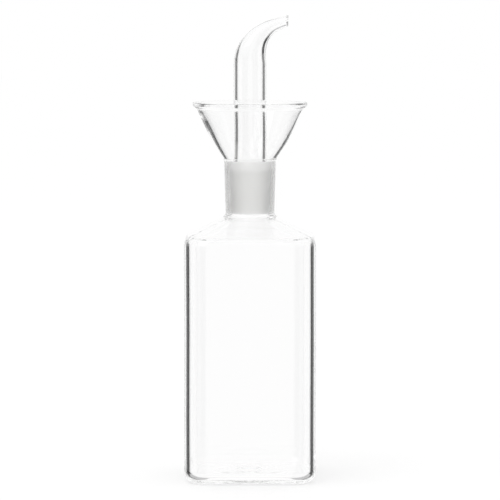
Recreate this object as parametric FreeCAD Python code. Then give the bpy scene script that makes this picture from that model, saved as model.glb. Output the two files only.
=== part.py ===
"""Glass oil bottle with a drip funnel and a ground-glass pouring stopper.

A square mould-blown bottle carries a conical ground socket on its shoulder, and the socket opens
into a funnel that catches drips. A hollow ground plug with a bent, drawn spout stands in the socket
and lifts out for filling. All sizes are millimetres, +Z is up, and the origin is the middle of the
face that the bottle stands on. The spout points along +X.
"""

import FreeCAD
import Part

import math
import os

from FreeCAD import Vector

# Bottle body: a rounded square, blown in a mould
BODY_WIDTH = 70.0
BODY_DEPTH = 70.0
BODY_CORNER = 13.0
BODY_WALL = 2.8
HEEL_ROUND = 6.0
FLOOR_ROUND = 3.5
BASE_THICKNESS = 2.8

# Shoulder: from a level edge round the four faces it slopes in to the round neck
SHOULDER_EDGE_Z = 129.2
SHOULDER_SLOPE = 25.0
SHOULDER_ROUND = 6.0
NECK_ROUND = 3.0
NECK_STUB = 0.4

# Base: the square bearing face left by the mould's base plate, a shallow punt and its pontil dimple
BEARING_INSET = 9.0
BEARING_STEP = 0.25
PUNT_RADIUS = 20.0
PUNT_RISE = 1.6
PONTIL_RADIUS = 6.5
PONTIL_DEPTH = 0.9

# Ground joint of the 24/29 standard taper, measured on its socket
JOINT_MOUTH = 24.0
JOINT_LENGTH = 29.0
JOINT_TAPER = 1.0 / 10.0
JOINT_CLEARANCE = 0.05
SOCKET_MOUTH_WALL = 1.9
SOCKET_FOOT_WALL = 2.5

# Drip funnel: a slightly bowed cup with a fire-polished bead round its rim
FUNNEL_HEIGHT = 30.3
FUNNEL_RIM = 61.2
FUNNEL_WALL = 2.0
FUNNEL_BOW = 1.0
BEAD_DIAMETER = 2.5

# Ground plug: hollow, from a little below the mouth of the socket to a little past its foot
PLUG_SINK = 4.6
PLUG_OVERHANG = 0.4
PLUG_WALL = 2.0
PLUG_SHOULDER = 3.6
VENT_WIDTH = 3.2
VENT_DEPTH = 1.1

# Pouring spout: a tube bent over towards +X and drawn down to a narrow tip
SPOUT_DIAMETER = 17.4
SPOUT_WALL = 1.9
SPOUT_RISE = 21.0
BEND_RADIUS = 21.6
BEND_ANGLE = 72.0
TIP_LENGTH = 5.7
TIP_DIAMETER = 5.7
TIP_WALL = 1.25
BEND_STATIONS = 6
# Below 1 the tube is drawn down sooner after the start of the bend, above 1 later
DRAW_EXPONENT = 0.84

# Heights and radii that follow from the driving sizes
BODY_REACH = max(BODY_WIDTH, BODY_DEPTH) / 2
SLOPE = math.radians(SHOULDER_SLOPE)
MOUTH_RADIUS = JOINT_MOUTH / 2
FOOT_RADIUS = MOUTH_RADIUS - JOINT_LENGTH * JOINT_TAPER / 2
MOUTH_OUTER = MOUTH_RADIUS + SOCKET_MOUTH_WALL
FOOT_OUTER = FOOT_RADIUS + SOCKET_FOOT_WALL
SHOULDER_APEX_Z = SHOULDER_EDGE_Z + BODY_REACH * math.tan(SLOPE)


def neck_round_z(inset, neck_radius):
    """Height where the rounding between shoulder and neck ends, on a shoulder moved in by the inset."""
    cone_z = SHOULDER_APEX_Z - (neck_radius + NECK_ROUND) * math.tan(SLOPE)
    return cone_z + (NECK_ROUND - inset) / math.cos(SLOPE)


SOCKET_FOOT_Z = neck_round_z(0, FOOT_OUTER) + NECK_STUB
SOCKET_MOUTH_Z = SOCKET_FOOT_Z + JOINT_LENGTH
RIM_Z = SOCKET_MOUTH_Z + FUNNEL_HEIGHT
PLUG_TOP_Z = SOCKET_MOUTH_Z - PLUG_SINK
PLUG_FOOT_Z = SOCKET_FOOT_Z - PLUG_OVERHANG
SPOUT_FOOT_Z = PLUG_TOP_Z + PLUG_SHOULDER
BEND_Z = RIM_Z + SPOUT_RISE
BEND_TURN = math.radians(BEND_ANGLE)
BEND_LENGTH = BEND_RADIUS * BEND_TURN
SPOUT_RADIUS = SPOUT_DIAMETER / 2

Z_AXIS = Vector(0, 0, 1)
ORIGIN = Vector(0, 0, 0)


def profile_point(radius, z):
    """A point of a turned profile, in the XZ plane."""
    return Vector(radius, 0, z)


def turned(edges):
    """The solid made by turning a closed profile about the bottle's axis."""
    face = Part.Face(Part.Wire(edges))
    return face.revolve(ORIGIN, Z_AXIS, 360)


def turned_polygon(points):
    """The solid made by turning a polygon of (radius, z) points about the axis."""
    corners = [profile_point(radius, z) for radius, z in points]
    return turned(Part.makePolygon(corners + corners[:1]).Edges)


def joint_radius(z):
    """Radius of the socket's ground face at a height."""
    return MOUTH_RADIUS - (SOCKET_MOUTH_Z - z) * JOINT_TAPER / 2


def is_vertical(edge):
    """True for an edge that runs straight up."""
    first, last = edge.Vertexes[0].Point, edge.Vertexes[-1].Point
    return abs(first.x - last.x) + abs(first.y - last.y) < 1e-6 < abs(first.z - last.z)


def neck_foot(inset, neck_radius, neck_top_z):
    """The neck above the shoulder, with its foot rounded, and the circle that it stands on."""
    centre_radius = neck_radius + NECK_ROUND
    centre_z = neck_round_z(inset, neck_radius)
    middle = (math.radians(90) + SLOPE) / 2
    foot = profile_point(
        centre_radius - NECK_ROUND * math.sin(SLOPE), centre_z - NECK_ROUND * math.cos(SLOPE)
    )
    between = profile_point(
        centre_radius - NECK_ROUND * math.sin(middle), centre_z - NECK_ROUND * math.cos(middle)
    )
    on_neck = profile_point(neck_radius, centre_z)
    sides = Part.makePolygon([
        on_neck,
        profile_point(neck_radius, neck_top_z),
        profile_point(0, neck_top_z),
        profile_point(0, foot.z),
        foot,
    ])
    neck = turned(sides.Edges + [Part.Arc(foot, between, on_neck).toShape()])
    return neck, foot.x, foot.z


def quarter_arc(centre, radius, quarter):
    """A quarter of a level circle, counted anticlockwise from +X."""
    return Part.makeCircle(radius, centre, Z_AXIS, 90 * quarter, 90 * quarter + 90)


def shoulder(width, depth, corner, edge_z, top_radius, top_z):
    """The slope from the rounded square to the round neck: flat on each face, bent at each corner."""
    signs = [(1, 1), (-1, 1), (-1, -1), (1, -1)]
    centres = [Vector(x * (width / 2 - corner), y * (depth / 2 - corner), edge_z) for x, y in signs]
    lower = [quarter_arc(centre, corner, quarter) for quarter, centre in enumerate(centres)]
    upper = [quarter_arc(Vector(0, 0, top_z), top_radius, quarter) for quarter in range(4)]
    faces = [Part.makeRuledSurface(below, above) for below, above in zip(lower, upper)]
    rim = []
    for quarter in range(4):
        start = lower[quarter].valueAt(lower[quarter].LastParameter)
        following = lower[(quarter + 1) % 4]
        end = following.valueAt(following.FirstParameter)
        peak = upper[quarter].valueAt(upper[quarter].LastParameter)
        faces.append(Part.Face(Part.makePolygon([start, end, peak, start])))
        rim += [lower[quarter], Part.makeLine(start, end)]
    faces += [Part.Face(Part.Wire(rim)), Part.Face(Part.Wire(upper))]
    shell = Part.makeShell(faces)
    shell.sewShape()
    return Part.makeSolid(shell)


def vessel(inset, floor_z, heel, neck_radius, neck_top_z):
    """A closed form of the bottle, with every wall moved in by the inset.

    The same construction gives the outside and the hollow: a rounded square prism, the shoulder and
    the neck, with the shoulder's edge and the heel rounded.
    """
    width = BODY_WIDTH - 2 * inset
    depth = BODY_DEPTH - 2 * inset
    corner = BODY_CORNER - inset
    edge_z = SHOULDER_APEX_Z - inset / math.cos(SLOPE) - max(width, depth) / 2 * math.tan(SLOPE)
    prism = Part.makeBox(width, depth, edge_z - floor_z, Vector(-width / 2, -depth / 2, floor_z))
    prism = prism.makeFillet(corner, [e for e in prism.Edges if is_vertical(e)])
    neck, foot_radius, foot_z = neck_foot(inset, neck_radius, neck_top_z)
    form = prism.fuse([shoulder(width, depth, corner, edge_z, foot_radius, foot_z), neck]).removeSplitter()
    form = form.makeFillet(SHOULDER_ROUND - inset, [e for e in form.Edges if lies_at(e, edge_z)])
    return form.makeFillet(heel, [e for e in form.Edges if lies_at(e, floor_z)])


def lies_at(edge, z):
    """True for an edge that lies level at a height."""
    return all(abs(point.z - z) < 1e-6 for point in edge.discretize(5))


def dome(base_z, base_radius, rise, thickness):
    """A ball whose cap rises through a level circle, made larger by a wall's thickness."""
    ball_radius = (base_radius ** 2 + rise ** 2) / (2 * rise)
    centre = Vector(0, 0, base_z + rise - ball_radius)
    return Part.makeSphere(ball_radius + thickness, centre)


def bottle_body():
    """The blown bottle: punted base, four walls, shoulder and the stub of the neck."""
    outside = vessel(0, BEARING_STEP, HEEL_ROUND, FOOT_OUTER, SOCKET_FOOT_Z)
    floor_z = BEARING_STEP + BASE_THICKNESS
    hollow = vessel(BODY_WALL, floor_z, FLOOR_ROUND, FOOT_RADIUS, SOCKET_FOOT_Z + NECK_STUB)
    hollow = hollow.cut(dome(0, PUNT_RADIUS, PUNT_RISE, BASE_THICKNESS))
    width = BODY_WIDTH - 2 * BEARING_INSET
    depth = BODY_DEPTH - 2 * BEARING_INSET
    bearing = Part.makeBox(width, depth, floor_z, Vector(-width / 2, -depth / 2, 0))
    punt = dome(0, PUNT_RADIUS, PUNT_RISE, 0)
    pontil = dome(PUNT_RISE - PONTIL_DEPTH / 2, PONTIL_RADIUS, PONTIL_DEPTH, 0)
    return outside.fuse(bearing).cut(hollow).cut(punt).cut(pontil).removeSplitter()


def neck_socket():
    """The ground socket, sealed on the shoulder's stub."""
    return turned_polygon([
        (FOOT_RADIUS, SOCKET_FOOT_Z),
        (FOOT_OUTER, SOCKET_FOOT_Z),
        (MOUTH_OUTER, SOCKET_MOUTH_Z),
        (MOUTH_RADIUS, SOCKET_MOUTH_Z),
    ])


def bowed_line(start, end, bow):
    """An arc from start to end that swells outwards by the bow at its middle."""
    chord = end - start
    outward = Vector(chord.z, 0, -chord.x).normalize()
    middle = (start + end) * 0.5 + outward * bow
    return Part.Arc(start, middle, end).toShape()


def drip_funnel():
    """The funnel that the mouth of the socket opens into, with its beaded rim."""
    bead_radius = BEAD_DIAMETER / 2
    bead_centre = profile_point(FUNNEL_RIM / 2 - bead_radius, RIM_Z - bead_radius)
    foot_outer = profile_point(MOUTH_OUTER, SOCKET_MOUTH_Z)
    foot_inner = profile_point(MOUTH_RADIUS, SOCKET_MOUTH_Z)
    rising = bead_centre - (foot_outer + foot_inner) * 0.5
    half_wall = Vector(rising.z, 0, -rising.x).normalize() * (FUNNEL_WALL / 2)
    lip_outer = bead_centre + half_wall
    lip_inner = bead_centre - half_wall
    wall = turned([
        bowed_line(foot_outer, lip_outer, FUNNEL_BOW),
        Part.LineSegment(lip_outer, lip_inner).toShape(),
        bowed_line(lip_inner, foot_inner, -FUNNEL_BOW),
        Part.LineSegment(foot_inner, foot_outer).toShape(),
    ])
    bead = Part.makeTorus(bead_centre.x, bead_radius, Vector(0, 0, bead_centre.z))
    return wall.fuse(bead).removeSplitter()


def ground_plug():
    """The hollow ground cone, with a shoulder for the spout and a groove for air and drips."""
    top_radius = joint_radius(PLUG_TOP_Z) - JOINT_CLEARANCE
    foot_radius = joint_radius(PLUG_FOOT_Z) - JOINT_CLEARANCE
    plug = turned_polygon([
        (foot_radius - PLUG_WALL, PLUG_FOOT_Z),
        (foot_radius, PLUG_FOOT_Z),
        (top_radius, PLUG_TOP_Z),
        (SPOUT_RADIUS, SPOUT_FOOT_Z),
        (SPOUT_RADIUS - SPOUT_WALL, SPOUT_FOOT_Z),
        (top_radius - PLUG_WALL, PLUG_TOP_Z - PLUG_WALL),
    ])
    groove_start = Vector(VENT_DEPTH - foot_radius - VENT_WIDTH / 2, 0, PLUG_FOOT_Z)
    groove_end = Vector(VENT_DEPTH - top_radius - VENT_WIDTH / 2, 0, PLUG_TOP_Z)
    along = groove_end - groove_start
    groove = Part.makeCylinder(VENT_WIDTH / 2, along.Length * 1.5, groove_start - along * 0.25, along)
    return plug.cut(groove)


def centre_line(along):
    """The point and heading of the spout's centre line at a length past the start of the bend."""
    turn = min(along, BEND_LENGTH) / BEND_RADIUS
    heading = Vector(math.sin(turn), 0, math.cos(turn))
    on_bend = Vector(BEND_RADIUS * (1 - math.cos(turn)), 0, BEND_Z + BEND_RADIUS * math.sin(turn))
    return on_bend + heading * max(along - BEND_LENGTH, 0), heading


def ring(centre, heading, radius):
    """A circle square to a heading in the XZ plane, started on the +Y side so that lofts don't twist."""
    circle = Part.Circle(centre, heading, radius)
    circle.XAxis = Vector(0, 1, 0)
    return Part.Wire([circle.toShape()])


def spout_form(tube_radius, tip_radius, overrun):
    """The straight tube and its drawn, bent end, as one solid of round sections."""
    tube = Part.makeCylinder(tube_radius, BEND_Z - SPOUT_FOOT_Z, Vector(0, 0, SPOUT_FOOT_Z))
    drawn_length = BEND_LENGTH + TIP_LENGTH
    stations = [BEND_LENGTH * station / BEND_STATIONS for station in range(BEND_STATIONS + 1)]
    rings = []
    for along in stations + [drawn_length, drawn_length + overrun]:
        share = min(along / drawn_length, 1)
        drawn = (1 - math.cos(math.pi * share ** DRAW_EXPONENT)) / 2
        radius = tube_radius + (tip_radius - tube_radius) * drawn
        rings.append(ring(*centre_line(along), radius))
    return tube.fuse(Part.makeLoft(rings, True, False)).removeSplitter()


def pouring_spout():
    """The bent spout, with its tip cut off upright."""
    outside = spout_form(SPOUT_RADIUS, TIP_DIAMETER / 2, TIP_DIAMETER)
    bore = spout_form(SPOUT_RADIUS - SPOUT_WALL, TIP_DIAMETER / 2 - TIP_WALL, TIP_DIAMETER)
    tip, _ = centre_line(BEND_LENGTH + TIP_LENGTH)
    beyond = Part.makeBox(BODY_WIDTH, BODY_DEPTH, RIM_Z, Vector(tip.x, -BODY_DEPTH / 2, BEND_Z))
    return outside.cut(bore).cut(beyond)


PIECES = {
    "bottle_body": bottle_body,
    "neck_socket": neck_socket,
    "drip_funnel": drip_funnel,
    "ground_plug": ground_plug,
    "pouring_spout": pouring_spout,
}

os.makedirs("parts", exist_ok=True)
for name, make in PIECES.items():
    shape = make()
    box = shape.BoundBox
    print(
        f"{name}: {len(shape.Solids)} solid, valid {shape.isValid()}, {shape.Volume / 1000:.2f} cm3, "
        f"x {box.XMin:.2f} to {box.XMax:.2f}, z {box.ZMin:.2f} to {box.ZMax:.2f}"
    )
    shape.exportStep(f"parts/{name}.step")
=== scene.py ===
import math

import bmesh
import bpy
from bpy.props import FloatProperty, FloatVectorProperty, IntProperty, PointerProperty
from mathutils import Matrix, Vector, noise


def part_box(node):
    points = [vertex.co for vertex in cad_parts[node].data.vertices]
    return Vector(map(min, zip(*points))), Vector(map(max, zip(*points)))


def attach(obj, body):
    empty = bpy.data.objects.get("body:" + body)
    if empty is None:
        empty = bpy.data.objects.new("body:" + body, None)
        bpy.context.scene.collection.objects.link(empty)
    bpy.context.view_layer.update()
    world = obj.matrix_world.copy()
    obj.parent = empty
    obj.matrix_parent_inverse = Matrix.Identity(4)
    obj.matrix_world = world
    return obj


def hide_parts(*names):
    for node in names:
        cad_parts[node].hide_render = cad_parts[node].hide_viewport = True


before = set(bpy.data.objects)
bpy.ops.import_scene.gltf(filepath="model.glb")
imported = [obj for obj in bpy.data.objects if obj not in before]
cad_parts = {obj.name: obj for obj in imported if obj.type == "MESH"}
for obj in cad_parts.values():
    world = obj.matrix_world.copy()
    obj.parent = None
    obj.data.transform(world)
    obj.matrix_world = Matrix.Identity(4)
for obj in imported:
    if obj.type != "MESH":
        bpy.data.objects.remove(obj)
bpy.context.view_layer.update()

bl_info = {
    "name": "Glass Oil Bottle",
    "version": (1, 0, 0),
    "blender": (4, 5, 0),
    "location": "View3D > Sidebar > Oil Bottle",
    "description": "Models a square glass oil bottle with a drip funnel and a pouring stopper",
    "category": "Object",
}

MM = 0.001
BODY_LOW, BODY_HIGH = (Vector(corner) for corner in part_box("bottle_body"))
SOCKET_LOW, SOCKET_HIGH = (Vector(corner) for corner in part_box("neck_socket"))
PLUG_LOW, PLUG_HIGH = (Vector(corner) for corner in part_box("ground_plug"))
FUNNEL_HIGH = Vector(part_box("drip_funnel")[1])
SPOUT_HIGH = Vector(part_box("pouring_spout")[1])

# Finishes of the glass, in the order of the material slots
FIRE_POLISHED, GROUND, DRAWN = range(3)
FINISH_NAMES = "borosilicate_fire_polished", "borosilicate_ground", "borosilicate_drawn"
GLASS_IOR = 1.47
DRAWN_ROUGHNESS = 0.04
GRIT_ROUGHNESS = 0.4, 0.52
WAVE_LENGTH = 30 * MM
GRIT_SIZE = 0.6 * MM

# How the profiles are divided
MERGE_DISTANCE = 0.002 * MM
ARC_STEP = math.radians(5)
FEWEST_ARC_STEPS = 3
EDGE_SHARE = 0.49

# How the parison fills the mould
CORNER_CROWDING = 0.15
RIPPLES_ROUND = 1.3
RIPPLE_LENGTH = 70 * MM
EDGE_REACH = 0.7

# The floor, the lamp and the camera
FLOOR_RADIUS = 6
FLOOR_SIDES = 96
FLOOR_DROP = 0.15 * MM
FLOOR_MATT = 0.3
LAMP_POWER = 3
LAMP_SIZE = 0.8
LAMP_PLACE = -0.5, -0.5, 1.2
LAMP_AIM = 0.5, 0.5, -1.1
SENSOR_WIDTH = 36
LENS = 236.4
CAMERA_PLACE = 0, -1.75, 0.2759
CAMERA_TILT = math.radians(90 - 5.03)
BOUNCES = 1024
TRANSPARENT_BOUNCES = 16

# Where the cards begin and where they are full, as shares of the way from a white side to a corner
CARD_EDGES = {"level": (0.36, 0.5), "low": (0.08, 0.24)}
# The light's axis, where along it the cards begin and end to change, how much, and into what
CARD_FADES = (
    ("Z", -0.19, -0.24, 1.0, "low"),
    ("Z", -0.08, -0.03, 0.2, "white"),
    ("Z", 0.13, 0.3, 1.0, "white"),
    ("Z", -0.42, -0.54, 0.55, "white"),
    ("Y", 0.1, -0.1, 0.2, "white"),
)
# Faces that light crosses straight through a vessel, and into and out of one of its walls
VESSEL_FACES = 4.0
WALL_FACES = 2.0
COUNT_SLACK = 0.5
# How much of the cards shows in light that the ground faces scatter
SCATTERED_SHARE = 0.1


def linear(hex_colour):
    """Linear RGBA of an sRGB hex colour."""
    channels = [int(hex_colour[i:i + 2], 16) / 255 for i in (1, 3, 5)]
    return [c / 12.92 if c <= 0.04045 else ((c + 0.055) / 1.055) ** 2.4 for c in channels] + [1.0]


def length(name, description, default):
    """A length property in metres."""
    return FloatProperty(
        name=name, description=description, default=default, min=0, unit="LENGTH", precision=5,
    )


def angle(name, description, degrees):
    """An angle property with a default in degrees."""
    return FloatProperty(
        name=name, description=description, default=math.radians(degrees), unit="ROTATION",
    )


def colour(name, description, hex_colour):
    """A colour property with an sRGB default."""
    return FloatVectorProperty(
        name=name, description=description, default=linear(hex_colour), size=4, min=0, max=1,
        subtype="COLOR",
    )


class BottleSizes(bpy.types.PropertyGroup):
    """Sizes of the blown bottle with its socket and funnel"""

    width: length("Body width", "Across the flat faces", BODY_HIGH.x - BODY_LOW.x)
    corner: length("Corner radius", "Of the upright corners, in plan", 13 * MM)
    wall: length("Wall", "Glass thickness of the blown walls", 2.8 * MM)
    ripple: length("Ripple", "How far the blown walls wander from true", 0.12 * MM)

    base: length("Base thickness", "Glass thickness of the base", 3 * MM)
    heel: length("Heel radius", "Of the outside lower edge", 6 * MM)
    floor_round: length("Floor radius", "Of the inside lower edge", 3.5 * MM)
    floor_dome: length("Floor dome", "How much more the floor rises than the punt", 1.5 * MM)
    punt: length("Punt radius", "Of the pushed-up middle of the base", 19.5 * MM)
    punt_rise: length("Punt rise", "Height of the pushed-up middle", 1.6 * MM)
    punt_round: length("Punt rounding", "Where the punt leaves the base", 20 * MM)
    pontil: length("Pontil radius", "Of the scar in the middle of the base", 6.5 * MM)
    scar_depth: length("Scar depth", "Of the scar, over the punt", 0.8 * MM)
    scar_dish: length("Scar dish", "How much deeper the scar's middle is", 0.1 * MM)
    scar_edge: length("Scar edge", "Width and fall of the scar's edge", 1 * MM)
    scar_round: length("Scar rounding", "Of the scar's edge", 0.5 * MM)

    shoulder_edge: length("Shoulder height", "Height of the shoulder's edge", 129.5 * MM)
    shoulder_slope: angle("Shoulder slope", "Fall of the shoulder", 27)
    shoulder_round: length("Shoulder radius", "Rounding of the shoulder's edge", 6 * MM)
    front_round: length(
        "Front edge radius", "Rounding inside the shoulder's front and back edges", 5.2 * MM,
    )
    front_fade: length("Front edge fade", "Over which that rounding sets in", 8 * MM)
    neck_round: length("Neck radius", "Rounding where the neck leaves the shoulder", 3 * MM)

    socket_foot: length("Socket foot", "Inside radius at the foot of the socket", 10.55 * MM)
    socket_mouth: length("Socket mouth", "Inside radius at the mouth of the socket", 12 * MM)
    mouth_round: length("Mouth rounding", "Inside, where the socket flares", 2.5 * MM)
    neck_foot: length("Neck foot", "Outside radius at the foot of the neck", 13.05 * MM)
    neck_mouth: length("Neck mouth", "Outside radius at the mouth of the neck", SOCKET_HIGH.x)
    neck_drop: length("Neck drop", "How far under the mouth the neck flares", 0.4 * MM)
    neck_flare: length("Neck flare", "Rounding outside, where the neck flares", 4 * MM)
    ground_foot: length("Ground foot", "Clear band at the foot of the ground face", 0.2 * MM)
    ground_head: length("Ground head", "Clear band at the head of the ground face", 0.6 * MM)
    ground_skin: length("Ground skin", "How far past the mouth's radius glass is ground", 0.2 * MM)

    flare: length("Flare", "Outside radius at the knee of the funnel", 20.2 * MM)
    flare_rise: length("Flare rise", "Height of that knee over the mouth", 9 * MM)
    flare_round: length("Flare rounding", "Of the knee", 25 * MM)
    inner_flare: length("Inner flare", "Inside radius at the knee of the funnel", 18.5 * MM)
    inner_flare_rise: length("Inner flare rise", "Height of that knee over the mouth", 10.2 * MM)
    lip: length("Lip", "Outside radius under the funnel's bead", 28.6 * MM)
    lip_drop: length("Lip drop", "How far that lies under the rim", 3.3 * MM)
    lip_round: length("Lip rounding", "Where the bead begins", 4 * MM)
    inner_lip: length("Inner lip", "Inside radius under the funnel's bead", 27.2 * MM)
    inner_lip_drop: length("Inner lip drop", "How far that lies under the rim", 2.9 * MM)
    rim: length("Rim radius", "Outside radius of the funnel's bead", FUNNEL_HIGH.x)
    bead: length("Bead radius", "Of the funnel's rolled rim", 1.25 * MM)
    bead_height: length("Bead height", "Of the funnel's rolled rim", 2.4 * MM)
    funnel_lean: length(
        "Funnel lean", "How far the inside of the flared wall stands to one side", 0.5 * MM,
    )

    spacing: length("Spacing", "Between the rings of the mesh", 3 * MM)
    steps: IntProperty(name="Steps", description="Facets round the axis", default=240, min=16)


class StopperSizes(bpy.types.PropertyGroup):
    """Sizes of the ground plug and its spout"""

    plug_foot: length("Plug foot", "Outside radius at the foot of the plug", 10.48 * MM)
    plug_top: length("Plug top", "Outside radius at the top of the ground face", 11.72 * MM)
    plug_top_z: length("Ground height", "Height where the ground face ends", 166.15 * MM)
    plug_wall: length("Plug wall", "Glass thickness of the plug", 2 * MM)
    foot_round: length("Foot rounding", "Of the plug's lower edges", 0.9 * MM)
    top_round: length("Top rounding", "Where the ground face ends", 1.2 * MM)
    top_drop: length("Top drop", "How far lower the hollow begins to close", 1.5 * MM)
    hollow_round: length("Hollow rounding", "Where the hollow begins to close", 3 * MM)
    seal_round: length("Seal rounding", "Where the tube is sealed on the plug", 4 * MM)
    ground_foot: length("Ground foot", "Clear band at the foot of the ground face", 1.2 * MM)
    ground_head: length("Ground head", "Clear band at the head of the ground face", 0.4 * MM)
    ground_skin: length("Ground skin", "How deep a face may lie and be ground", 1.4 * MM)
    vent_width: length("Vent width", "Width of the groove for air and drips", 3.2 * MM)
    vent_depth: length("Vent depth", "Depth of the groove for air and drips", 1.1 * MM)
    vent_rise: length("Vent rise", "How far the groove runs past the ground face", 2 * MM)
    vent_skin: length("Vent skin", "How deep a point may lie and be cut", 0.6 * MM)

    tube: length("Tube radius", "Outside radius of the straight tube", 8.7 * MM)
    tube_wall: length("Tube wall", "Glass thickness of the straight tube", 1.9 * MM)
    bend_z: length("Bend height", "Height where the tube begins to bend", 222.05 * MM)
    bend_radius: length("Bend radius", "Of the tube's centre line", 21.6 * MM)
    bend_angle: angle("Bend angle", "How far the tube is bent over", 72)
    draw_start: length(
        "Draw start", "Where the draw-down leaves the tube, past the start of the bend", 3.5 * MM,
    )
    draw_end: length(
        "Draw end", "Where the tube reaches the tip's size, past the start of the bend", 25.3 * MM,
    )
    draw_round: length("Draw rounding", "Where the draw-down leaves the tube", 36 * MM)
    tip_round: length("Tip rounding", "Where the tube reaches the tip's size", 50 * MM)
    stretch: length(
        "Stretch", "How far the bore moves out of the bend, where the glass thins", 0.4 * MM,
    )
    tip: length("Tip radius", "Outside radius at the tip", 2.85 * MM)
    tip_wall: length("Tip wall", "Glass thickness at the tip", 1.25 * MM)
    tip_run: length("Tip run", "Length of the straight drawn end", 5.7 * MM)
    tip_spare: length("Tip spare", "Length that is cut off the drawn end", 6 * MM)
    tip_polish: length("Tip polish", "Rounding of the cut end", 0.5 * MM)

    spacing: length("Spacing", "Between the rings of the mesh", 1.2 * MM)
    steps: IntProperty(name="Steps", description="Facets round the tube", default=128, min=16)
    polish_steps: IntProperty(
        name="Polish steps", description="Facets across the rounding of the cut end", default=4,
        min=1,
    )


class GlassColours(bpy.types.PropertyGroup):
    """Colours of the glass and of the stage"""

    clear: colour("Clear glass", "Body colour of the fire-polished glass", "#FEFEFE")
    ground: colour("Ground glass", "Body colour of the ground faces", "#FEFEFD")
    floor: colour("Floor", "Pale floor under the bottle", "#FFFFFF")
    backdrop: colour("Backdrop", "White all round the stage", "#FFFFFF")
    card: colour("Dark cards", "Dark cards between the room's white sides", "#141414")


def add_node(tree, kind, sockets=None, **settings):
    """Add a node, set its settings and fill each named socket with a value or a link."""
    node = tree.nodes.new(kind)
    for name, value in settings.items():
        setattr(node, name, value)
    for name, value in (sockets or {}).items():
        if isinstance(value, bpy.types.NodeSocket):
            tree.links.new(value, node.inputs[name])
        else:
            node.inputs[name].default_value = value
    return node


def new_material(name):
    """An empty node material."""
    material = bpy.data.materials.new(name)
    material.use_nodes = True
    material.node_tree.nodes.clear()
    return material


def clear_glass(colours, name, roughness):
    """Blown or drawn borosilicate glass: clear and glossy, with the slow waves of hot work."""
    tree = new_material(name).node_tree
    place = add_node(tree, "ShaderNodeTexCoord")
    waves = add_node(tree, "ShaderNodeTexNoise", {
        "Vector": place.outputs["Object"], "Scale": 1 / WAVE_LENGTH, "Detail": 1.0,
        "Roughness": 0.4,
    })
    bump = add_node(tree, "ShaderNodeBump", {
        "Height": waves.outputs["Fac"], "Strength": 0.05, "Distance": 1 * MM,
    })
    shader = add_node(tree, "ShaderNodeBsdfPrincipled", {
        "Base Color": colours.clear, "Roughness": roughness, "IOR": GLASS_IOR,
        "Transmission Weight": 1.0, "Normal": bump.outputs["Normal"],
    })
    add_node(tree, "ShaderNodeOutputMaterial", {"Surface": shader.outputs["BSDF"]})


def ground_glass(colours, name):
    """Borosilicate glass ground with fine grit: matt and milky, it passes light but no picture."""
    tree = new_material(name).node_tree
    place = add_node(tree, "ShaderNodeTexCoord")
    grit = add_node(tree, "ShaderNodeTexNoise", {
        "Vector": place.outputs["Object"], "Scale": 1 / GRIT_SIZE, "Detail": 2.0,
        "Roughness": 0.6,
    })
    matt = add_node(tree, "ShaderNodeMapRange", {
        "Value": grit.outputs["Fac"], "To Min": GRIT_ROUGHNESS[0], "To Max": GRIT_ROUGHNESS[1],
    })
    bump = add_node(tree, "ShaderNodeBump", {
        "Height": grit.outputs["Fac"], "Strength": 0.05, "Distance": 0.2 * MM,
    })
    shader = add_node(tree, "ShaderNodeBsdfPrincipled", {
        "Base Color": colours.ground, "Roughness": matt.outputs["Result"], "IOR": GLASS_IOR,
        "Transmission Weight": 1.0, "Normal": bump.outputs["Normal"],
    })
    add_node(tree, "ShaderNodeOutputMaterial", {"Surface": shader.outputs["BSDF"]})


def glass_materials(colours):
    """The glass finishes, made once, in the order of the material slots."""
    if FINISH_NAMES[FIRE_POLISHED] not in bpy.data.materials:
        clear_glass(colours, FINISH_NAMES[FIRE_POLISHED], 0.0)
        ground_glass(colours, FINISH_NAMES[GROUND])
        clear_glass(colours, FINISH_NAMES[DRAWN], DRAWN_ROUGHNESS)
    return [bpy.data.materials[name] for name in FINISH_NAMES]


def sketch(corners, spacing):
    """A divided profile in the XZ plane through (radius, height, rounding) corners."""
    bm = bmesh.new()
    points = [Vector((radius, 0, height)) for radius, height, _ in corners]
    verts = [bm.verts.new(point) for point in points]
    for pair in zip(verts, verts[1:]):
        bm.edges.new(pair)
    for i in range(1, len(points) - 1):
        before, after = points[i] - points[i - 1], points[i + 1] - points[i]
        turn = before.angle(after)
        most = EDGE_SHARE * min(before.length, after.length)
        offset = min(corners[i][2] * math.tan(turn / 2), most)
        if offset > 0:
            bmesh.ops.bevel(
                bm, geom=[verts[i]], offset=offset, offset_type="OFFSET", affect="VERTICES",
                segments=max(FEWEST_ARC_STEPS, math.ceil(turn / ARC_STEP)), profile=0.5,
                material=-1,
            )
    for edge in list(bm.edges):
        cuts = int(edge.calc_length() / spacing)
        if cuts:
            bmesh.ops.subdivide_edges(bm, edges=[edge], cuts=cuts)
    return bm


def turned(corners, spacing, steps):
    """The skin that a profile sweeps when it turns once about the axis."""
    bm = sketch(corners, spacing)
    bmesh.ops.spin(
        bm, geom=bm.verts[:] + bm.edges[:], cent=(0, 0, 0), axis=(0, 0, 1), angle=math.tau,
        steps=steps, use_merge=True,
    )
    bmesh.ops.remove_doubles(bm, verts=bm.verts, dist=MERGE_DISTANCE)
    return bm


def joined(skins):
    """One bmesh from several, with shared rims merged and all faces pointing out of the glass."""
    bm = bmesh.new()
    for skin in skins:
        mesh = bpy.data.meshes.new("skin")
        skin.to_mesh(mesh)
        skin.free()
        bm.from_mesh(mesh)
        bpy.data.meshes.remove(mesh)
    bmesh.ops.remove_doubles(bm, verts=bm.verts, dist=MERGE_DISTANCE)
    bmesh.ops.recalc_face_normals(bm, faces=bm.faces)
    return bm


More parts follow.
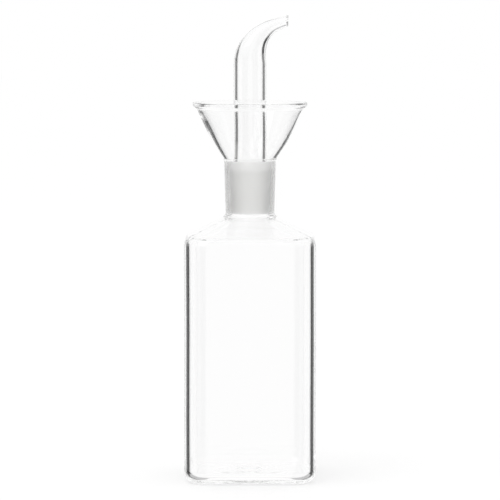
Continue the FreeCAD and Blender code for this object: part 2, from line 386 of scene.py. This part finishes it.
def make_piece(name, bm, materials, finish):
    """A smooth object from a bmesh, each face in the finish that its middle calls for."""
    for face in bm.faces:
        face.smooth = True
        face.material_index = finish(face.calc_center_median())
    mesh = bpy.data.meshes.new(name)
    bm.to_mesh(mesh)
    bm.free()
    piece = bpy.data.objects.new(name, mesh)
    for material in materials:
        mesh.materials.append(material)
    bpy.context.collection.objects.link(piece)
    return piece


def plan_radius(heading, half, corner):
    """Distance from the axis to a rounded square, along a heading."""
    across, along = sorted((abs(math.cos(heading)), abs(math.sin(heading))))
    straight = half - corner
    if half * across / along <= straight:
        return half / along
    return straight * (across + along) + math.sqrt(
        max(0, corner ** 2 - (straight * (along - across)) ** 2)
    )


def press_into_mould(bm, sizes, inset, lower_round, neck_radius):
    """Push the round parison out into the square mould, up to the neck, with a slight ripple."""
    half = sizes.width / 2 - inset
    corner = sizes.corner - inset
    flat = half - lower_round
    wall_foot = lower_round + sizes.base
    for vert in bm.verts:
        radius = math.hypot(vert.co.x, vert.co.y)
        height = vert.co.z
        heading = math.atan2(vert.co.y, vert.co.x)
        if height > SOCKET_LOW.z or radius <= min(neck_radius, sizes.punt):
            continue
        # the facets crowd into the corners, where the glass bends the light most
        heading += CORNER_CROWDING * math.sin(4 * heading)
        if height > wall_foot:
            share = (radius - neck_radius) / (half - neck_radius)
            radius = neck_radius + share * (plan_radius(heading, half, corner) - neck_radius)
        elif radius > flat:
            step_in = half - radius
            radius = plan_radius(heading, half - step_in, corner - step_in)
        elif radius > sizes.punt:
            share = (radius - sizes.punt) / (flat - sizes.punt)
            square = plan_radius(heading, flat, corner - lower_round)
            radius = sizes.punt + share * (square - sizes.punt)
        around = Vector((math.cos(heading), math.sin(heading), 0))
        if radius > flat:
            spot = RIPPLES_ROUND * (around + Vector((0, 0, height / RIPPLE_LENGTH)))
            radius += sizes.ripple * noise.noise(spot)
        vert.co = around * radius + Vector((0, 0, height))


def fill_edges(bm, sizes, inner_half, edge_z, side_round):
    """Thicken the glass inside the shoulder's front and back edges, past that at its sides."""
    growth = sizes.front_round / side_round - 1
    for vert in bm.verts:
        edge = Vector((vert.co.x, math.copysign(inner_half, vert.co.y), edge_z))
        share = (sizes.width / 2 - sizes.corner - abs(vert.co.x)) / sizes.front_fade
        if (vert.co - edge).length < EDGE_REACH * side_round:
            vert.co = edge + (vert.co - edge) * (1 + max(0, min(1, share)) * growth)


def lean_funnel(bm, sizes, mouth_z, rim_z):
    """Move the inside of the flared wall to one side, as in a hand-flared tube."""
    for vert in bm.verts:
        up = (vert.co.z - mouth_z) / (rim_z - mouth_z)
        if up > 0:
            vert.co.x += sizes.funnel_lean * math.sin(math.pi * up)


class OILBOTTLE_OT_bottle(bpy.types.Operator):
    """Blow the bottle, with its ground socket and drip funnel"""

    bl_idname = "oil_bottle.make_bottle"
    bl_label = "Bottle"

    def execute(self, context):
        sizes = context.scene.oil_bottle
        half = sizes.width / 2
        inner_half = half - sizes.wall
        slope = math.tan(sizes.shoulder_slope)
        foot_z, mouth_z, rim_z = SOCKET_LOW.z, SOCKET_HIGH.z, FUNNEL_HIGH.z
        apex = sizes.shoulder_edge + half * slope
        inner_apex = apex - sizes.wall / math.cos(sizes.shoulder_slope)
        edge_z = inner_apex - inner_half * slope
        side_round = sizes.shoulder_round - sizes.wall
        scar_z = sizes.punt_rise + sizes.scar_depth
        outside = turned([
            (0, scar_z + sizes.scar_dish, 0),
            (sizes.pontil - sizes.scar_edge, scar_z, sizes.scar_round),
            (sizes.pontil, scar_z - sizes.scar_edge, sizes.scar_round),
            (sizes.punt, 0, sizes.punt_round),
            (half, 0, sizes.heel),
            (half, sizes.shoulder_edge, sizes.shoulder_round),
            (sizes.neck_foot, apex - sizes.neck_foot * slope, sizes.neck_round),
            (sizes.neck_mouth, mouth_z - sizes.neck_drop, sizes.neck_flare),
            (sizes.flare, mouth_z + sizes.flare_rise, sizes.flare_round),
            (sizes.lip, rim_z - sizes.lip_drop, sizes.lip_round),
            (sizes.rim, rim_z - sizes.bead_height, sizes.bead),
            (sizes.rim, rim_z, sizes.bead),
            (sizes.rim - sizes.bead, rim_z, 0),
        ], sizes.spacing, sizes.steps)
        press_into_mould(outside, sizes, 0, sizes.heel, sizes.neck_foot)
        inside = turned([
            (sizes.rim - sizes.bead, rim_z, 0),
            (sizes.rim - 2 * sizes.bead, rim_z, sizes.bead),
            (sizes.inner_lip, rim_z - sizes.inner_lip_drop, sizes.lip_round),
            (sizes.inner_flare, mouth_z + sizes.inner_flare_rise, sizes.flare_round),
            (sizes.socket_mouth, mouth_z, sizes.mouth_round),
            (sizes.socket_foot, foot_z, 0),
            (sizes.socket_foot, inner_apex - sizes.socket_foot * slope, sizes.neck_round),
            (inner_half, edge_z, side_round),
            (inner_half, sizes.base, sizes.floor_round),
            (sizes.punt, sizes.base, sizes.punt_round),
            (0, sizes.punt_rise + sizes.base + sizes.floor_dome, 0),
        ], sizes.spacing, sizes.steps)
        press_into_mould(inside, sizes, sizes.wall, sizes.floor_round, sizes.socket_foot)
        fill_edges(inside, sizes, inner_half, edge_z, side_round)
        lean_funnel(inside, sizes, mouth_z, rim_z)

        def finish(middle):
            if not foot_z + sizes.ground_foot < middle.z < mouth_z - sizes.ground_head:
                return FIRE_POLISHED
            radius = math.hypot(middle.x, middle.y)
            return GROUND if radius < sizes.socket_mouth + sizes.ground_skin else DRAWN

        materials = glass_materials(context.scene.glass)
        bottle = make_piece("bottle_glass", joined([outside, inside]), materials, finish)
        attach(bottle, "bottle")
        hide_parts("bottle_body", "neck_socket", "drip_funnel")
        return {"FINISHED"}


def bend_over(bm, sizes, stretch):
    """Bend the tube's drawn end towards +X, its skin moved out by the stretch at mid-bend."""
    for vert in bm.verts:
        along = vert.co.z - sizes.bend_z
        if along <= 0:
            continue
        turn = min(along / sizes.bend_radius, sizes.bend_angle)
        run = along - turn * sizes.bend_radius
        vert.co.x -= stretch * math.sin(math.pi * turn / sizes.bend_angle)
        heading = Vector((math.sin(turn), 0, math.cos(turn)))
        side = Vector((math.cos(turn), 0, -math.sin(turn)))
        centre = Vector((
            sizes.bend_radius * (1 - math.cos(turn)), 0,
            sizes.bend_z + sizes.bend_radius * math.sin(turn),
        ))
        vert.co = centre + heading * run + side * vert.co.x + Vector((0, vert.co.y, 0))


def cut_vent(bm, sizes):
    """Grind the groove for air and drips into the plug, on the side away from the spout."""
    for vert in bm.verts:
        if vert.co.z > sizes.plug_top_z + sizes.vent_rise or vert.co.x > 0:
            continue
        share = abs(vert.co.y) / (sizes.vent_width / 2)
        outer = math.hypot(vert.co.x, vert.co.y) > sizes.plug_foot - sizes.vent_skin
        if share < 1 and outer:
            vert.co.x += sizes.vent_depth * (1 - share ** 2)


def cut_tip(bm, sizes):
    """Cut the drawn end square to the table, close it and fire-polish its edges."""
    cut = bmesh.ops.bisect_plane(
        bm, geom=bm.verts[:] + bm.edges[:] + bm.faces[:], dist=1e-6, plane_co=(SPOUT_HIGH.x, 0, 0),
        plane_no=(1, 0, 0), clear_outer=True,
    )
    rims = [part for part in cut["geom_cut"] if isinstance(part, bmesh.types.BMEdge)]
    ends = bmesh.ops.bridge_loops(bm, edges=rims)
    if not ends["faces"]:
        raise RuntimeError("the spout's tip could not be closed")
    bmesh.ops.recalc_face_normals(bm, faces=bm.faces)
    bmesh.ops.bevel(
        bm, geom=rims, offset=sizes.tip_polish, affect="EDGES", segments=sizes.polish_steps,
        profile=0.5, material=-1,
    )


class OILBOTTLE_OT_stopper(bpy.types.Operator):
    """Draw the stopper: the ground plug and the bent spout sealed on it"""

    bl_idname = "oil_bottle.make_stopper"
    bl_label = "Stopper"

    def execute(self, context):
        sizes = context.scene.oil_stopper
        foot_z, seal_z = PLUG_LOW.z, PLUG_HIGH.z
        bend_end = sizes.bend_z + sizes.bend_radius * sizes.bend_angle
        tip_end = bend_end + sizes.tip_run + sizes.tip_spare
        draw_start, draw_end = sizes.bend_z + sizes.draw_start, sizes.bend_z + sizes.draw_end
        bore = sizes.tube - sizes.tube_wall
        tip_bore = sizes.tip - sizes.tip_wall
        foot_bore = sizes.plug_foot - sizes.plug_wall
        top_bore = sizes.plug_top - sizes.plug_wall
        foot_middle = sizes.plug_foot - sizes.plug_wall / 2
        outside = turned([
            (foot_middle, foot_z, 0),
            (sizes.plug_foot, foot_z, sizes.foot_round),
            (sizes.plug_top, sizes.plug_top_z, sizes.top_round),
            (sizes.tube, seal_z, sizes.seal_round),
            (sizes.tube, draw_start, sizes.draw_round),
            (sizes.tip, draw_end, sizes.tip_round),
            (sizes.tip, tip_end, 0),
        ], sizes.spacing, sizes.steps)
        cut_vent(outside, sizes)
        inside = turned([
            (foot_middle, foot_z, 0),
            (foot_bore, foot_z, sizes.foot_round),
            (top_bore, sizes.plug_top_z - sizes.top_drop, sizes.hollow_round),
            (bore, seal_z, sizes.seal_round),
            (bore, draw_start, sizes.draw_round),
            (tip_bore, draw_end, sizes.tip_round),
            (tip_bore, tip_end, 0),
        ], sizes.spacing, sizes.steps)
        bend_over(outside, sizes, 0)
        bend_over(inside, sizes, sizes.stretch)
        bm = joined([outside, inside])
        cut_tip(bm, sizes)

        def finish(middle):
            if not foot_z + sizes.ground_foot < middle.z < sizes.plug_top_z - sizes.ground_head:
                return FIRE_POLISHED
            share = (middle.z - foot_z) / (sizes.plug_top_z - foot_z)
            skin = sizes.plug_foot + (sizes.plug_top - sizes.plug_foot) * share
            radius = math.hypot(middle.x, middle.y)
            return GROUND if radius > skin - sizes.ground_skin else FIRE_POLISHED

        materials = glass_materials(context.scene.glass)[:DRAWN]
        stopper = make_piece("stopper_glass", bm, materials, finish)
        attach(stopper, "stopper_spout")
        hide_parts("ground_plug", "pouring_spout")
        return {"FINISHED"}


def floor_finish(colours):
    """White sweep: lit to white, it keeps a soft shadow, and glass shows the white room past it."""
    material = new_material("white_sweep")
    tree = material.node_tree
    lit = add_node(tree, "ShaderNodeEmission", {"Color": colours.backdrop})
    matt = add_node(tree, "ShaderNodeBsdfDiffuse", {"Color": colours.floor})
    sweep = add_node(tree, "ShaderNodeMixShader", {
        0: FLOOR_MATT, 1: lit.outputs[0], 2: matt.outputs[0],
    })
    clear = add_node(tree, "ShaderNodeBsdfTransparent")
    path = add_node(tree, "ShaderNodeLightPath")
    through = add_node(tree, "ShaderNodeMath", {
        0: path.outputs["Is Transmission Ray"], 1: path.outputs["Is Glossy Ray"],
    }, operation="MAXIMUM")
    shader = add_node(tree, "ShaderNodeMixShader", {
        0: through.outputs[0], 1: sweep.outputs[0], 2: clear.outputs[0],
    })
    add_node(tree, "ShaderNodeOutputMaterial", {"Surface": shader.outputs[0]})
    return material


def light_the_room(world, colours):
    """A white room for glass: dark cards between its four white sides draw the glass's edges."""
    world.use_nodes = True
    tree = world.node_tree
    tree.nodes.clear()
    white, card = tuple(colours.backdrop), tuple(colours.card)
    place = add_node(tree, "ShaderNodeTexCoord")
    axes = add_node(tree, "ShaderNodeSeparateXYZ", {0: place.outputs["Generated"]})
    turn = add_node(tree, "ShaderNodeMath", {
        0: axes.outputs["X"], 1: axes.outputs["Y"],
    }, operation="ARCTAN2")
    # 0 towards a white side, 1 towards the corner between two
    corner = add_node(tree, "ShaderNodeMath", {
        0: turn.outputs[0], 1: math.pi / 4,
    }, operation="PINGPONG")
    share = add_node(tree, "ShaderNodeMath", {
        0: corner.outputs[0], 1: math.pi / 4,
    }, operation="DIVIDE")
    tones = {"white": white}
    for level, edges in CARD_EDGES.items():
        ramp = add_node(tree, "ShaderNodeValToRGB", {0: share.outputs[0]})
        ramp.color_ramp.interpolation = "EASE"
        for element, position, tone in zip(ramp.color_ramp.elements, edges, (white, card)):
            element.position = position
            element.color = tone
        tones[level] = ramp.outputs[0]
    seen = tones["level"]
    for axis, start, end, most, tone in CARD_FADES:
        fade = add_node(tree, "ShaderNodeMapRange", {
            "Value": axes.outputs[axis], "From Min": start, "From Max": end, "To Max": most,
        }, interpolation_type="SMOOTHSTEP")
        seen = add_node(tree, "ShaderNodeMix", {
            0: fade.outputs[0], 6: seen, 7: tones[tone],
        }, data_type="RGBA").outputs[2]

    # light that goes straight through a vessel sees the white room, light that is turned back
    # inside a wall sees the cards, and light that the ground faces scatter sees a little of them
    path = add_node(tree, "ShaderNodeLightPath")
    left_over = add_node(tree, "ShaderNodeMath", {
        0: path.outputs["Transmission Depth"], 1: VESSEL_FACES,
    }, operation="MODULO")
    one_wall = add_node(tree, "ShaderNodeMath", {
        0: left_over.outputs[0], 1: WALL_FACES, 2: COUNT_SLACK,
    }, operation="COMPARE")
    along_wall = add_node(tree, "ShaderNodeMath", {
        0: one_wall.outputs[0], 1: path.outputs["Glossy Depth"],
    }, operation="MULTIPLY", use_clamp=True)
    passed = add_node(tree, "ShaderNodeMix", {
        0: path.outputs["Is Singular Ray"], 2: SCATTERED_SHARE, 3: along_wall.outputs[0],
    })
    part = add_node(tree, "ShaderNodeMath", {
        0: passed.outputs[0], 1: path.outputs["Is Transmission Ray"],
    }, operation="MULTIPLY")
    shown = add_node(tree, "ShaderNodeMix", {
        0: part.outputs[0], 6: white, 7: seen,
    }, data_type="RGBA")
    light = add_node(tree, "ShaderNodeBackground", {"Color": shown.outputs[2], "Strength": 1.0})
    add_node(tree, "ShaderNodeOutputWorld", {"Surface": light.outputs[0]})


class OILBOTTLE_OT_stage(bpy.types.Operator):
    """Set the floor, the light and the camera"""

    bl_idname = "oil_bottle.set_stage"
    bl_label = "Stage"

    def execute(self, context):
        scene = context.scene
        colours = scene.glass
        bm = bmesh.new()
        bmesh.ops.create_circle(bm, cap_ends=True, segments=FLOOR_SIDES, radius=FLOOR_RADIUS)
        bmesh.ops.translate(bm, verts=bm.verts, vec=(0, 0, -FLOOR_DROP))
        mesh = bpy.data.meshes.new("floor")
        bm.to_mesh(mesh)
        bm.free()
        mesh.materials.append(floor_finish(colours))
        floor = bpy.data.objects.new("floor", mesh)
        scene.collection.objects.link(floor)

        scene.world = bpy.data.worlds.new("white_room")
        light_the_room(scene.world, colours)

        lamp = bpy.data.lights.new("soft_box", "AREA")
        lamp.energy = LAMP_POWER
        lamp.size = LAMP_SIZE
        box = bpy.data.objects.new("soft_box", lamp)
        box.location = LAMP_PLACE
        box.rotation_euler = Vector(LAMP_AIM).to_track_quat("-Z", "Y").to_euler()
        scene.collection.objects.link(box)

        lens = bpy.data.cameras.new("camera")
        lens.sensor_width = SENSOR_WIDTH
        lens.lens = LENS
        camera = bpy.data.objects.new("camera", lens)
        camera.location = CAMERA_PLACE
        camera.rotation_euler = (CAMERA_TILT, 0, 0)
        scene.collection.objects.link(camera)
        scene.camera = camera

        scene.view_settings.view_transform = "Standard"
        for limit in ("max_bounces", "transmission_bounces", "glossy_bounces", "diffuse_bounces"):
            setattr(scene.cycles, limit, BOUNCES)
        scene.cycles.transparent_max_bounces = TRANSPARENT_BOUNCES
        return {"FINISHED"}


class OILBOTTLE_PT_panel(bpy.types.Panel):
    """The bottle's pieces and stage"""

    bl_idname = "OILBOTTLE_PT_panel"
    bl_label = "Oil Bottle"
    bl_space_type = "VIEW_3D"
    bl_region_type = "UI"
    bl_category = "Oil Bottle"

    def draw(self, context):
        for operator in (OILBOTTLE_OT_bottle, OILBOTTLE_OT_stopper, OILBOTTLE_OT_stage):
            self.layout.operator(operator.bl_idname)


CLASSES = (
    BottleSizes, StopperSizes, GlassColours,
    OILBOTTLE_OT_bottle, OILBOTTLE_OT_stopper, OILBOTTLE_OT_stage, OILBOTTLE_PT_panel,
)


def register():
    """Add the classes, and the settings on the scene."""
    for cls in CLASSES:
        bpy.utils.register_class(cls)
    bpy.types.Scene.oil_bottle = PointerProperty(type=BottleSizes)
    bpy.types.Scene.oil_stopper = PointerProperty(type=StopperSizes)
    bpy.types.Scene.glass = PointerProperty(type=GlassColours)


def unregister():
    """Take the settings and the classes away again."""
    del bpy.types.Scene.glass
    del bpy.types.Scene.oil_stopper
    del bpy.types.Scene.oil_bottle
    for cls in reversed(CLASSES):
        bpy.utils.unregister_class(cls)


def main():
    """Build the bottle, the stopper and the stage."""
    register()
    bpy.ops.oil_bottle.make_bottle()
    bpy.ops.oil_bottle.make_stopper()
    bpy.ops.oil_bottle.set_stage()


if __name__ == "__main__":
    main()
